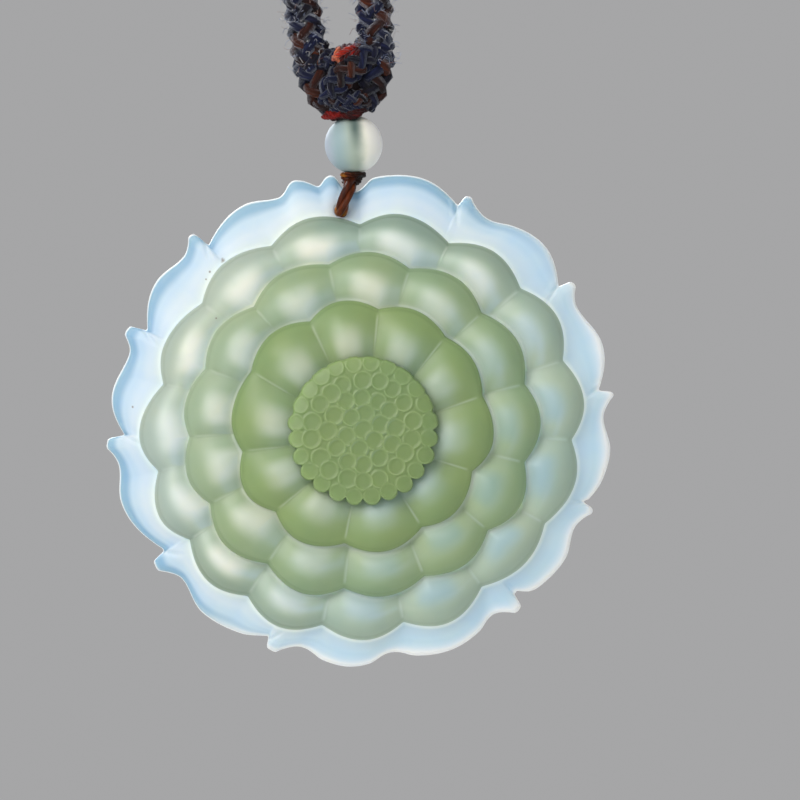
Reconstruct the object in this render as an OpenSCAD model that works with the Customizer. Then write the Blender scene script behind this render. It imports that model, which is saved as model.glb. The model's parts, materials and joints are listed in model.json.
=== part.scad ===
// A carved jade lotus medallion on a braided neck cord, hanging as it is worn.
// Millimetres, +Z up, and the front faces -Y. The origin is the inner top of the neck loop.

/* [Medallion] */
// Radius of the rim at its widest lobes
rim_r = 25.4; // [22.4:0.1:30]
// Width of the rim outside the outer petals
rim_w = 3.2; // [2.8:0.1:3.6]
// How far the outer petals stand out of the middle row
outer_w = 4.2; // [3.6:0.1:4.8]
// How far the middle petals stand out of the inner row
middle_w = 5; // [4.4:0.1:5.6]
// How far the inner petals stand out of the seed pod
inner_w = 5.5; // [4.8:0.1:6.2]
// Thickness of the rim at the foot of the petals
rim_t = 1.8; // [1.4:0.1:2.4]
// Thickness of the rim at its outer edge
edge_t = 1; // [0.8:0.1:1.4]
// Thickness at the swell of the outer petals
outer_t = 4.1; // [3.4:0.1:4.6]
// Thickness at the swell of the middle petals
middle_t = 5.6; // [5:0.1:6.2]
// Thickness at the swell of the inner petals
inner_t = 7; // [6.4:0.1:7.6]
// Thickness of the whole medallion, at the seeds
pod_t = 8.4; // [7.8:0.1:10]
// Height of a petal's edge over the surface that it grows from
petal_lip = 0.7; // [0.4:0.1:1]
// Width of the bevel round the back of the rim
back_bevel = 0.8; // [0.4:0.1:1.2]
// Turn of the carving, clockwise from the front
carving_turn = 5.5; // [0:0.5:8]
// Clearance between the thread hole and the petals under it
hole_gap = 0.05; // [0.05:0.01:0.2]

/* [Seeds] */
// Rings of seeds round the middle one
seed_rings = 4; // [3:1:4]
// Height of a seed at the edge of the pod
seed_rise = 0.4; // [0.3:0.1:0.8]
// Gap between neighbouring seeds
seed_gap = 0.1; // [0.08:0.01:0.3]

/* [Bead] */
// Diameter of the bead
bead_d = 5.8; // [5:0.1:7]
// How far the bead sits to the right of the cord's line
bead_side = 0.2; // [0:0.1:0.4]
// How far the bead's foot dips into the circle of the rim, over the notch
bead_dip = 0.4; // [0.2:0.1:0.5]

/* [Thread] */
// Thickness of the brown thread
thread_d = 1.2; // [0.8:0.1:1.4]
// Clearance round the thread in the medallion and the bead
thread_gap = 0.15; // [0.1:0.05:0.3]
// Diameter of the thread's winding where it meets the bead
winding_top_d = 3.2; // [2.8:0.1:3.6]
// Diameter of the winding's lower end
winding_foot_d = 1.9; // [1.6:0.1:2.2]
// How far the winding's lower end dips into the circle of the rim
winding_dip = 1.1; // [0.9:0.1:1.2]
// How far the thread hole lies to the left of the cord's line
hang_side = 1.7; // [1.4:0.1:2]

/* [Knot] */
// Width of the knot where the cord enters it
knot_w = 11; // [10.6:0.1:12]
// Depth of the knot from front to back
knot_depth = 6.6; // [5.6:0.1:8]
// Height of the knot
knot_h = 6.6; // [5.6:0.1:9]
// Diameter of the red thread bound under the knot
binding_d = 4.3; // [3.8:0.1:5]
// Height of that binding
binding_h = 0.8; // [0.6:0.1:1.2]
// How deep the bead's top sits in the binding
bead_seat = 0.45; // [0.3:0.05:0.6]
// Width of the red tuft on top of the knot
tuft_w = 2.3; // [1.6:0.1:2.3]
// Gap between pieces that rest on each other
rest_gap = 0.08; // [0.05:0.01:0.15]

/* [Neck cord] */
// Thickness of the braided cord
cord_d = 4.2; // [3.4:0.1:4.4]
// Length of the loop along the middle of the cord
cord_length = 650; // [450:5:800]
// Distance between the cord's two sides where they enter the knot
cord_spread = 6.4; // [6.4:0.1:7]
// Lean of each side of the loop, in degrees
cord_lean = 3.5; // [2.5:0.1:6]
// Depth of the cord's ends in the knot
socket_depth = 2.2; // [1.6:0.1:3]

/* [Hidden] */
$fn = 64;
JADE_PALE = "#d8e8ea";
JADE_GREEN = "#c9d6a8";
THREAD_BROWN = "#8a5a20";
THREAD_RED = "#b02a1a";
CORD_DARK = "#1c1e2c";

// Rings and sides of the meshed pieces
LEG_RINGS = 24;
ARC_RINGS = 22;
CORD_SIDES = 12;
KNOT_SIDES = 28;
SEED_SIDES = 10;
// Share of a seed's width that is left at its top
SEED_TOP = 0.84;
// How much a bend in the thread is thicker than the thread
BEND_SWELL = 1.06;

// The loop: the top arc's radius follows from its length, lean and spread
arc_share = (180 + 2 * cord_lean) * PI / 180;
arc_r = (cord_spread + sin(cord_lean) * cord_length) / (2 * cos(cord_lean) + arc_share * sin(cord_lean));
leg_length = (cord_length - arc_share * arc_r) / 2;
arc_z = cord_d / 2 - arc_r;
leg_foot_z = arc_z - arc_r * sin(cord_lean) - leg_length * cos(cord_lean);
loop_foot = [cord_spread / 2, leg_foot_z];
leg_step = [sin(cord_lean), cos(cord_lean)] * leg_length / LEG_RINGS;
// Radii
cord_radius = cord_d / 2;
thread_r = thread_d / 2;
bore_r = thread_r + thread_gap;
bead_r = bead_d / 2;
outer_r = rim_r - rim_w;
middle_r = outer_r - outer_w;
inner_r = middle_r - middle_w;
pod_r = inner_r - inner_w;
// The rim's back lies half a rim behind the cord's line
back_y = rim_t / 2;
// Each strand of the thread runs this far from that line, and bends inwards at a share of its way up
strand_y = back_y + thread_gap + thread_r;
strand_bend = 0.62;
winding_y = thread_d * 0.83;
// How far the thread runs up into the knot
thread_socket = 1.6;

// Columns of a table of turning points: angle from the right, reach, and 1 where the outline is smooth
ANGLE = 0;
REACH = 1;
SMOOTH = 2;
// Turning points of the rim, with the reach as a share of rim_r: lobes, valleys, thorn tips and notches
RIM = [
    [1.5, 0.953, 1], [7.2, 1, 0], [8.4, 0.951, 0], [18.5, 1, 1],
    [28.5, 0.965, 1], [33.5, 1.004, 0], [35, 0.953, 0], [45, 1.008, 1],
    [58.5, 0.949, 1], [64.8, 0.992, 0], [66.5, 0.949, 0], [77, 0.998, 1],
    [87.8, 0.969, 0], [89.4, 0.935, 0], [91.3, 0.912, 0], [94.8, 0.932, 0],
    [95.9, 0.982, 0], [97.5, 0.988, 1], [100.1, 0.944, 0], [106, 0.996, 1],
    [110, 0.949, 1], [118.5, 0.98, 1], [130.5, 0.933, 0], [132, 1.004, 0],
    [137, 0.961, 1], [145, 0.984, 1], [156, 0.929, 0], [158.5, 0.998, 0],
    [163, 0.955, 1], [173.5, 0.99, 1], [182.5, 0.941, 0], [184.7, 1.008, 0],
    [190, 0.969, 1], [198, 0.996, 1], [212, 0.931, 0], [215, 0.988, 0],
    [220.8, 0.933, 1], [230, 0.972, 1], [246, 0.919, 0], [248.5, 0.961, 0],
    [255, 0.909, 1], [266.5, 0.957, 1], [277.5, 0.906, 1], [292, 0.957, 1],
    [304.5, 0.911, 1], [310, 0.961, 0], [313, 0.902, 0], [326, 0.963, 1],
    [334, 0.933, 1], [339.5, 0.974, 0], [341, 0.933, 0], [353.5, 0.986, 1],
];
// One row for each petal: angle and reach of the seam before it, then angle and reach of its crown.
// The reach is a share of the row's own radius.
OUTER = [
    [17.5, 0.95, 28.5, 1.005], [40.5, 0.941, 51, 0.98], [64.2, 0.905, 78.5, 0.962],
    [90.5, 0.899, 104.5, 0.957], [116.8, 0.899, 131, 0.953], [142.8, 0.901, 158.5, 0.957],
    [168.6, 0.91, 183.5, 1.002], [193, 0.939, 204.5, 1.002], [214, 0.932, 225.5, 0.989],
    [236.5, 0.928, 247.5, 0.986], [259, 0.921, 270.5, 0.973], [282, 0.91, 294, 0.977],
    [306.5, 0.91, 321, 0.968], [331.5, 0.939, 345, 0.998], [355.7, 0.948, 366, 1.007],
];
MIDDLE = [
    [13.8, 0.931, 27, 0.981], [42.8, 0.908, 56.5, 0.967], [72.8, 0.903, 87, 0.956],
    [101.5, 0.903, 117.5, 0.947], [132.5, 0.883, 148.5, 0.956], [160.5, 0.919, 175.5, 0.986],
    [184.3, 0.956, 197, 1.008], [207.8, 0.947, 221, 1.011], [236, 0.933, 250, 0.994],
    [264, 0.914, 278, 0.964], [292.5, 0.911, 307, 0.969], [320, 0.914, 333, 0.992],
    [346.8, 0.928, 360.5, 0.994],
];
INNER = [
    [13, 0.954, 28.5, 0.988], [46, 0.931, 62, 0.969], [81.5, 0.892, 100, 0.958],
    [116.5, 0.881, 138, 0.981], [154.5, 0.938, 178, 0.996], [193, 0.935, 210.5, 1.031],
    [225.5, 0.938, 241, 1.015], [262, 0.923, 281, 0.992], [300.5, 0.915, 317, 0.988],
    [337, 0.923, 353, 1.019],
];
// A petal from its edge to the foot of the next row: share of the way in, and share of its swell
SWELL = [[0, 0], [0.14, 0.58], [0.42, 1], [0.75, 0.82], [1, 0.35]];
// The rim's front from its edge to the petals' foot: share of the way in, and share of its rise
RIM_FRONT = [[0.12, 0], [0.5, 0.62], [1, 1]];
// The knot from foot to top: share of the height, then shares of the half width and half depth
KNOT = [
    [0, 0.38, 0.5], [0.06, 0.5, 0.62], [0.24, 0.69, 0.82], [0.46, 0.85, 0.96],
    [0.66, 0.96, 1], [0.84, 1, 0.97], [0.95, 0.98, 0.88], [1, 0.9, 0.72],
];
// Widest step between two points of the rim, in degrees
STEP = 2.6;
// How far a petal's edge leans inwards
lip_lean = petal_lip * 0.36;
// Offset of the seed pod from the medallion's centre
pod_shift = pod_r * [0.02, -0.08];

// Share of the way between two turning points, flat where the outline is smooth
function eased(t, from_smooth, to_smooth) =
    from_smooth != to_smooth ? (to_smooth == 1 ? sin(90 * t) : 1 - cos(90 * t))
    : to_smooth == 1 ? (1 - cos(180 * t)) / 2
    : t;

// The same angle, in the full turn that starts at the first row of a table
function in_turn(rows, angle) = angle - 360 * floor((angle - rows[0][ANGLE] + 0.0001) / 360);

// A column of a table at any angle
function column_at(rows, angle, column) =
    let (a = in_turn(rows, angle))
    let (i = max([for (i = [0 : len(rows) - 1]) if (rows[i][ANGLE] <= a + 0.0001) i]))
    let (p = rows[i])
    let (q = i + 1 < len(rows) ? rows[i + 1] : rows[0] + [360, 0, 0])
    let (t = (a - p[ANGLE]) / (q[ANGLE] - p[ANGLE]))
    p[column] + (q[column] - p[column]) * eased(t, p[SMOOTH], q[SMOOTH]);

// A row of petals as turning points: a sharp seam, then a smooth crown
function petal_points(petals) = [for (p = petals) each [[p[0], p[1], 0], [p[2], p[3], 1]]];

// Angles of the rim's points, which include each of its turning points
SPOKES = [
    for (i = [0 : len(RIM) - 1])
    let (start = RIM[i][ANGLE], end = i + 1 < len(RIM) ? RIM[i + 1][ANGLE] : RIM[0][ANGLE] + 360)
    let (parts = max(1, round((end - start) / STEP)))
    for (j = [0 : parts - 1]) start + (end - start) * j / parts
];
COUNT = len(SPOKES);

function spoke(k) = SPOKES[(k + COUNT) % COUNT] + (k < 0 ? -360 : k >= COUNT ? 360 : 0);
// Signed turn from one angle to another, within half a turn
function turn_to(from, to) = (to - from + 540) % 360 - 180;

// The angle of spoke k in a table, moved onto the turning point that lies nearest to it
function spoke_in(rows, k) =
    let (a = spoke(k), low = (spoke(k - 1) - a) / 2, high = (spoke(k + 1) - a) / 2)
    let (near = [for (r = rows) let (d = turn_to(a, r[ANGLE])) if (d >= low && d < high) a + d])
    len(near) > 0 ? near[0] : a;

function polar(angle, r) = [r * cos(angle), r * sin(angle)];

// The outline of a table at a radius, as one flat point for each spoke
function outline(rows, r) = [
    for (k = [0 : COUNT - 1]) let (a = spoke_in(rows, k)) polar(a, r * column_at(rows, a, REACH))
];
// 0 on a seam and 1 on a crown, for each spoke
function fullness(rows) = [for (k = [0 : COUNT - 1]) column_at(rows, spoke_in(rows, k), SMOOTH)];

// A ring part of the way from one outline to another, at one height for each spoke
function ring_between(from, to, share, heights) = [
    for (k = [0 : COUNT - 1]) let (p = from[k] + (to[k] - from[k]) * share) [p.x, p.y, heights[k]]
];
function level(h) = [for (k = [0 : COUNT - 1]) h];
function shrunk(shape, by) = [for (p = shape) p * (1 - by / norm(p))];

// The rings of one row of petals, from its edge to the foot of the next row
function petal_rings(edge, next_foot, full, edge_h, top_h) = [
    for (s = SWELL)
    ring_between(edge, next_foot, s[0], [for (f = full) edge_h + (top_h - edge_h) * s[1] * sqrt(max(0, f))])
];

// The hole lies straight under the cord, just outside the petals
outer_points = petal_points(OUTER);
hole_angle = 90 + carving_turn;
hole_reach = outer_r * column_at(outer_points, hole_angle, REACH) + hole_gap + bore_r;
// Heights below the loop
knot_top = leg_foot_z + socket_depth;
knot_foot = knot_top - knot_h;
binding_top = knot_foot - rest_gap;
bead_z = binding_top - binding_h + bead_seat - bead_d / 2;
bead_drop = rim_r - bead_dip - hole_reach + bead_r;
hole_z = bead_z - bead_drop;
winding_rise = rim_r - winding_dip - hole_reach;
winding_h = bead_drop - winding_rise - sqrt(bead_r ^ 2 - (winding_top_d / 2) ^ 2);

rim_line = outline(RIM, rim_r);
middle_points = petal_points(MIDDLE);
inner_points = petal_points(INNER);
outer_line = outline(outer_points, outer_r);
middle_line = outline(middle_points, middle_r);
inner_line = outline(inner_points, inner_r);
seed_pitch = pod_r / (seed_rings + 0.5);
seed_r = (seed_pitch - seed_gap) / 2;
// The relief closes inside the pod
pod_core_r = pod_r - seed_pitch / 2;
pod_line = [for (k = [0 : COUNT - 1]) pod_shift + polar(spoke(k), pod_core_r * 0.9)];
outer_edge_h = rim_t + petal_lip;
middle_edge_h = (outer_t + outer_edge_h) / 2 + petal_lip;
inner_edge_h = (middle_t + middle_edge_h) / 2 + petal_lip;

function leaned(shape) = shrunk(shape, lip_lean);
rim_rise = rim_t - edge_t;

RELIEF = [
    ring_between(shrunk(rim_line, back_bevel), rim_line, 0, level(0)),
    ring_between(rim_line, rim_line, 0, level(edge_t / 2)),
    each [for (s = RIM_FRONT) ring_between(rim_line, outer_line, s[0], level(edge_t + rim_rise * s[1]))],
    each petal_rings(leaned(outer_line), middle_line, fullness(outer_points), outer_edge_h, outer_t),
    each petal_rings(leaned(middle_line), inner_line, fullness(middle_points), middle_edge_h, middle_t),
    each petal_rings(leaned(inner_line), pod_line, fullness(inner_points), inner_edge_h, inner_t),
];

// A closed skin over a list of rings, with a fan over the first ring and over the last
module skin(rings, first_middle, last_middle) {
    n = len(rings[0]);
    last = len(rings) - 1;
    polyhedron(
        points = [each [for (ring = rings) each ring], first_middle, last_middle],
        faces = [
            for (k = [0 : n - 1]) let (l = (k + 1) % n) [n * (last + 1), k, l],
            for (i = [0 : last - 1], k = [0 : n - 1])
                let (l = (k + 1) % n)
                each [[n * i + k, n * i + n + k, n * i + n + l], [n * i + k, n * i + n + l, n * i + l]],
            for (k = [0 : n - 1]) let (l = (k + 1) % n) [n * (last + 1) + 1, n * last + l, n * last + k],
        ]
    );
}

// Seeds in rings on the flat top of the pod's core, a little higher towards the middle
module seed_pod() {
    core_h = pod_t - seed_rise * 1.5;
    cylinder(r = pod_core_r, h = core_h);
    for (ring = [0 : seed_rings], i = [0 : max(0, 6 * ring - 1)]) {
        place = polar(360 * i / max(1, 6 * ring) + 17 * ring, seed_pitch * ring);
        top = pod_t - seed_rise * 0.5 * ring / seed_rings;
        foot = ring < seed_rings ? core_h - seed_rise : rim_t;
        translate([place.x, place.y, foot]) {
            cylinder(r = seed_r, h = top - seed_rise / 2 - foot, $fn = SEED_SIDES);
            translate([0, 0, top - seed_rise / 2 - foot])
                cylinder(r1 = seed_r, r2 = seed_r * SEED_TOP, h = seed_rise / 2, $fn = SEED_SIDES);
        }
    }
}

// The medallion lies in XY with its back on zero, and is then stood up to face -Y
module jade_medallion() {
    color(JADE_GREEN)
        translate([-hang_side, back_y, hole_z - hole_reach])
            rotate([90, 0, 0])
                difference() {
                    rotate(-carving_turn)
                        resize([0, 0, pod_t])
                            union() {
                                skin(RELIEF, [0, 0, 0], [pod_shift.x, pod_shift.y, inner_edge_h]);
                                translate(pod_shift)
                                    seed_pod();
                            }
                    translate([0, hole_reach, -rim_t])
                        cylinder(r = bore_r, h = outer_t + 2 * rim_t);
                }
}

module jade_bead() {
    color(JADE_PALE)
        translate([bead_side, 0, bead_z])
            difference() {
                sphere(r = bead_r);
                cylinder(r = bore_r, h = 2 * bead_d, center = true);
            }
}

// A straight length of thread
module strand(from, to) {
    run = to - from;
    translate(from)
        rotate([0, acos(run.z / norm(run)), atan2(run.y, run.x)])
            cylinder(r = thread_r, h = norm(run));
}

// The thread swells a little where it bends
module thread_bend(place) {
    translate(place)
        sphere(r = thread_r * BEND_SWELL);
}

// Through the hole, up both faces of the rim, and wound together under the bead
module hanging_thread() {
    hole = [-hang_side, 0, hole_z];
    winding = [0, 0, hole_z + winding_rise];
    color(THREAD_BROWN) {
        strand(hole + [0, -strand_y, 0], hole + [0, strand_y, 0]);
        for (side = [-1, 1]) {
            low = hole + [0, side * strand_y, 0];
            bend = hole + (winding - hole) * strand_bend + [0, side * strand_y, 0];
            thread_bend(low);
            strand(low, bend);
            thread_bend(bend);
            strand(bend, winding + [0, side * winding_y, thread_r]);
        }
        difference() {
            translate(winding)
                cylinder(d1 = winding_foot_d, d2 = winding_top_d, h = winding_h);
            translate([bead_side, 0, bead_z])
                sphere(r = bead_r + rest_gap);
        }
        translate([bead_side, 0, winding.z + thread_r])
            cylinder(r = thread_r, h = knot_foot + thread_socket - winding.z - thread_r);
    }
}

module red_binding() {
    color(THREAD_RED)
        difference() {
            translate([0, 0, binding_top - binding_h])
                rotate_extrude()
                    hull() {
                        translate([binding_d / 2 - binding_h / 2, binding_h / 2])
                            circle(d = binding_h);
                        square([0.1, binding_h]);
                    }
            translate([bead_side, 0, bead_z])
                sphere(r = bead_r + rest_gap);
            translate([bead_side, 0, binding_top - 2 * binding_h])
                cylinder(r = bore_r, h = 4 * binding_h);
        }
}

// The groove that one end of the cord lies in, open to the knot's side
module cord_groove(side) {
    groove_r = cord_radius + rest_gap;
    translate([side * cord_spread / 2, 0, leg_foot_z])
        rotate([0, side * cord_lean, 0])
            translate([0, 0, -rest_gap]) {
                cylinder(r = groove_r, h = 2 * knot_h);
                translate([side * knot_w / 2, 0, knot_h])
                    cube([knot_w, 2 * groove_r, 2 * knot_h], center = true);
            }
}

module knot() {
    rings = [
        for (row = KNOT)
        [for (k = [0 : KNOT_SIDES - 1])
            let (a = 360 * k / KNOT_SIDES)
            [knot_w / 2 * row[1] * cos(a), knot_depth / 2 * row[2] * sin(a), knot_h * row[0]]]
    ];
    color(CORD_DARK)
        difference() {
            translate([0, 0, knot_foot])
                skin(rings, [0, 0, 0], [0, 0, knot_h]);
            for (side = [-1, 1])
                cord_groove(side);
            translate([bead_side, 0, knot_foot - bore_r])
                cylinder(r = bore_r, h = thread_socket + bore_r + rest_gap);
        }
}

// Red thread tied on top of the knot, between the two sides of the cord
module red_tuft() {
    color(THREAD_RED)
        translate([0, 0, knot_top + rest_gap])
            intersection() {
                scale(tuft_w / 2)
                    sphere(r = 1);
                cylinder(d = 2 * tuft_w, h = tuft_w);
            }
}

// The middle line up one side of the loop, round the arc and down the other: x, z,
// and the direction that points out of the loop there
LOOP = [
    for (i = [0 : LEG_RINGS - 1])
        [loop_foot.x + leg_step.x * i, loop_foot.y + leg_step.y * i, -cord_lean],
    for (i = [0 : ARC_RINGS])
        let (out = -cord_lean + (180 + 2 * cord_lean) * i / ARC_RINGS)
        [arc_r * cos(out), arc_z + arc_r * sin(out), out],
    for (i = [LEG_RINGS - 1 : -1 : 0])
        [-loop_foot.x - leg_step.x * i, loop_foot.y + leg_step.y * i, 180 + cord_lean],
];

module neck_cord() {
    rings = [
        for (place = LOOP)
        [for (k = [0 : CORD_SIDES - 1])
            let (a = 360 * k / CORD_SIDES, aside = cord_radius * cos(a))
            [place[0] + aside * cos(place[2]), cord_radius * sin(a), place[1] + aside * sin(place[2])]]
    ];
    color(CORD_DARK)
        skin(rings, [LOOP[0][0], 0, LOOP[0][1]], [-LOOP[0][0], 0, LOOP[0][1]]);
}

neck_cord();
knot();
red_tuft();
red_binding();
jade_bead();
hanging_thread();
jade_medallion();
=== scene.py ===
"""Looks of a carved jade lotus medallion on a braided neck cord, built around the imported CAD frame.

Lengths named here are millimetres unless a comment says otherwise, and meshes are made in metres.
The form of the medallion repeats the named sizes and tables of the part's source, only denser.
"""

import json
import math
import random

import bpy
import numpy as np
from mathutils import Matrix, Vector


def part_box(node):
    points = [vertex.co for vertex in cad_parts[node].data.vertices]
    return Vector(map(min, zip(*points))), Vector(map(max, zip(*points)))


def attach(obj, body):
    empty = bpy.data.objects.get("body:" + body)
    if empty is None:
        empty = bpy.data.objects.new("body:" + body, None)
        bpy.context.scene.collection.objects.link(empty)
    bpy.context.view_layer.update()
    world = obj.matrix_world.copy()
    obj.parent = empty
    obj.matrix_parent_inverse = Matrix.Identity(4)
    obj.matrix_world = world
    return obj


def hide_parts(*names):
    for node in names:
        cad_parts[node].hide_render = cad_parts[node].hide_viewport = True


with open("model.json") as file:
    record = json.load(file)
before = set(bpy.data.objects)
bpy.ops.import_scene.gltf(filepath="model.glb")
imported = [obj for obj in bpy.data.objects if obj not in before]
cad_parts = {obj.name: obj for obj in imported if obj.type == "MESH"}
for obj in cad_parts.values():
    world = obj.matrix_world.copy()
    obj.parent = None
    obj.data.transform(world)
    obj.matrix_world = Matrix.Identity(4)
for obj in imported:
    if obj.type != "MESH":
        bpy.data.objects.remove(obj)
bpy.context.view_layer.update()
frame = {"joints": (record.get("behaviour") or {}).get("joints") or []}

MM = 0.001
SEED = 5

# Medallion sizes, as in the part's source
RIM_R = 25.4
RIM_W = 3.2
OUTER_W = 4.2
MIDDLE_W = 5.0
INNER_W = 5.5
RIM_T = 1.8
EDGE_T = 1.0
OUTER_T = 4.1
MIDDLE_T = 5.6
INNER_T = 7.0
POD_T = 8.4
PETAL_LIP = 0.7
BACK_BEVEL = 0.8
CARVING_TURN = 5.5
HOLE_REACH = 21.443
BORE_R = 0.75
BORE_SIDES = 48
SEED_RINGS = 4

OUTER_R = RIM_R - RIM_W
MIDDLE_R = OUTER_R - OUTER_W
INNER_R = MIDDLE_R - MIDDLE_W
POD_R = INNER_R - INNER_W
OUTER_EDGE_H = RIM_T + PETAL_LIP
MIDDLE_EDGE_H = (OUTER_T + OUTER_EDGE_H) / 2 + PETAL_LIP
INNER_EDGE_H = (MIDDLE_T + MIDDLE_EDGE_H) / 2 + PETAL_LIP
SEED_PITCH = POD_R / (SEED_RINGS + 0.5)
POD_SHIFT = POD_R * np.array([0.02, -0.08])
LIP_LEAN = PETAL_LIP * 0.36

# Thread and cord sizes, as in the part's source
THREAD_R = 0.6
CORD_R = 2.1
ARC_R = 20.989
LEG_LENGTH = 290.749
CORD_LEAN = 3.5

# Turning points of the rim: angle, share of the radius, 1 where it is smooth
RIM = [
    [1.5, 0.953, 1], [7.2, 1, 0], [8.4, 0.951, 0], [18.5, 1, 1],
    [28.5, 0.965, 1], [33.5, 1.004, 0], [35, 0.953, 0], [45, 1.008, 1],
    [53.5, 0.977, 0],
    [58.5, 0.949, 1], [64.8, 0.992, 0], [66.5, 0.949, 0], [77, 0.998, 1],
    [87.8, 0.969, 0], [89.4, 0.935, 0], [91.3, 0.912, 0], [94.8, 0.932, 0],
    [95.9, 0.982, 0], [97.5, 0.988, 1], [100.1, 0.944, 0], [106, 0.996, 1], [108, 0.966, 0],
    [110, 0.949, 1], [118.5, 0.98, 1], [130.5, 0.933, 0], [132, 1.004, 0],
    [137, 0.961, 1], [145, 0.984, 1], [156, 0.929, 0], [158.5, 0.998, 0],
    [163, 0.955, 1], [173.5, 0.99, 1], [182.5, 0.941, 0], [184.7, 1.008, 0],
    [190, 0.969, 1], [198, 0.996, 1], [212, 0.931, 0], [215, 0.988, 0],
    [220.8, 0.933, 1], [230, 0.972, 1], [241, 0.948, 0], [246, 0.919, 0], [248.5, 0.961, 0],
    [255, 0.909, 1], [260, 0.94, 0], [267, 0.957, 1], [272.5, 0.942, 0], [277.5, 0.906, 1],
    [282.5, 0.934, 0], [292, 0.957, 1], [300.3, 0.937, 0],
    [304.5, 0.911, 1], [310, 0.961, 0], [313, 0.904, 0], [314.8, 0.931, 0],
    [316.5, 0.946, 0], [326, 0.963, 1],
    [334, 0.933, 1], [339.5, 0.974, 0], [341, 0.933, 0],
    [341.6, 0.941, 0], [343.5, 0.956, 0], [346, 0.971, 0], [353.5, 0.986, 1],
]
# Petals, as in the part's source: angle and share at the seam, then at the crown
OUTER = [
    [17.5, 0.95, 28.5, 1.005], [40.5, 0.941, 51, 0.98], [64.2, 0.905, 78.5, 0.962],
    [90.5, 0.899, 104.5, 0.957], [116.8, 0.899, 131, 0.953], [142.8, 0.901, 158.5, 0.957],
    [168.6, 0.91, 183.5, 1.002], [193, 0.939, 204.5, 1.002], [214, 0.932, 225.5, 0.989],
    [236.5, 0.928, 247.5, 0.986], [259, 0.921, 270.5, 0.973], [282, 0.91, 294, 0.977],
    [306.5, 0.91, 321, 0.968], [331.5, 0.939, 345, 0.998], [355.7, 0.948, 366, 1.007],
]
MIDDLE = [
    [13.8, 0.931, 27, 0.981], [42.8, 0.908, 56.5, 0.967], [72.8, 0.903, 87, 0.956],
    [101.5, 0.903, 117.5, 0.947], [132.5, 0.883, 148.5, 0.956], [160.5, 0.919, 175.5, 0.986],
    [184.3, 0.956, 197, 1.008], [207.8, 0.947, 221, 1.011], [236, 0.933, 250, 0.994],
    [264, 0.914, 278, 0.964], [292.5, 0.911, 307, 0.969], [320, 0.914, 333, 0.992],
    [346.8, 0.928, 360.5, 0.994],
]
INNER = [
    [13, 0.954, 28.5, 0.988], [46, 0.931, 62, 0.969], [81.5, 0.892, 100, 0.958],
    [116.5, 0.881, 138, 0.981], [154.5, 0.938, 178, 0.996], [193, 0.935, 210.5, 1.031],
    [225.5, 0.938, 241, 1.015], [262, 0.923, 281, 0.992], [300.5, 0.915, 317, 0.988],
    [337, 0.923, 353, 1.019],
]
# Painted glow at the feet of the outer, middle and inner petals: its width and its strength
GLOW_WIDTH = (0.3, 0.3, 0.7)
GLOW_STRENGTH = (1, 1, 0.5)
# The rim's front: share of the way in from its edge, and share of its rise
RIM_FRONT = [[0.12, 0], [0.5, 0.62], [1, 1]]
# Rounded thorns of the rim: angles at the tip and at the notch beside it, and from the notch to its side
THORNS = [
    [7.2, 8.4, 0.72], [33.5, 35, 0.4], [64.8, 66.5, 0.7], [132, 130.5, 0.4], [158.5, 156, 0.75],
    [184.7, 182.5, 0.45], [215, 212, 1.05], [248.5, 246, 0.65], [310, 313, 1.35], [339.5, 341, 0.7],
]
# A thorn's steep side: degrees on from its foot, share of its rise
THORN_SIDE = [[0, 0.45], [0.16, 0.74], [0.5, 0.9]]
# A thorn's back: degrees on from its tip, drop as a share of the rim's radius
THORN_BACK = [[0.1, 0], [0.8, 0.001], [1.25, 0.007], [1.6, 0.015]]
# Creases that run in from the rim's notches: angle at the notch, angle at the inner end
CREASES = [
    [8.4, 6], [35, 33], [66.5, 64], [94.8, 97], [130.5, 133.5], [156, 159.5],
    [182.5, 186], [212, 217], [246, 250], [313, 311], [341, 338],
]

# Where things lie in the frame, in millimetres
hole = Vector(frame["joints"][0]["pos_m"]) / MM
bead_low, bead_high = [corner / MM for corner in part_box("jade_bead")]
knot_low, knot_high = [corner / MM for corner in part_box("knot")]
disc_low, disc_high = [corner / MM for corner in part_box("jade_medallion")]
binding_low, binding_high = [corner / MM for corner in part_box("red_binding")]
bead_centre = (bead_low + bead_high) / 2
bead_r = (bead_high.x - bead_low.x) / 2
disc_back = disc_high.y
disc_centre = Vector((hole.x, disc_back, hole.z - HOLE_REACH))


# Meshes


def make_object(name, points, faces, values=None):
    """A mesh object from points in millimetres, lists of faces, and one named number for each point."""
    mesh = bpy.data.meshes.new(name)
    mesh.from_pydata((np.asarray(points) * MM).tolist(), [], [tuple(f) for f in faces])
    for key, numbers in (values or {}).items():
        layer = mesh.attributes.new(key, "FLOAT", "POINT")
        layer.data.foreach_set("value", np.asarray(numbers, np.float32))
    mesh.polygons.foreach_set("use_smooth", [True] * len(mesh.polygons))
    mesh.update()
    thing = bpy.data.objects.new(name, mesh)
    bpy.context.scene.collection.objects.link(thing)
    return thing


def join_parts(parts):
    """One set of points, faces and values from several."""
    points, faces, values, start = [], [], {}, 0
    for part_points, part_faces, part_values in parts:
        points.append(part_points)
        faces.extend((np.asarray(f) + start).tolist() for f in part_faces)
        for key, numbers in part_values.items():
            values.setdefault(key, []).append(numbers)
        start += len(part_points)
    return np.concatenate(points), faces, {key: np.concatenate(v) for key, v in values.items()}


def make_joined(name, parts):
    return make_object(name, *join_parts(parts))


def unit(vectors):
    return vectors / np.maximum(np.linalg.norm(vectors, axis=-1, keepdims=True), 1e-9)


def distances_along(path):
    """How far each point of a path lies from its start, along the path."""
    return np.concatenate([[0], np.cumsum(np.linalg.norm(np.diff(path, axis=0), axis=1))])


def sampled(rows, run, stations):
    """Places or directions given at the distances in run, read at the stations."""
    return np.column_stack([np.interp(stations, run, rows[:, i]) for i in range(3)])


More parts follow.
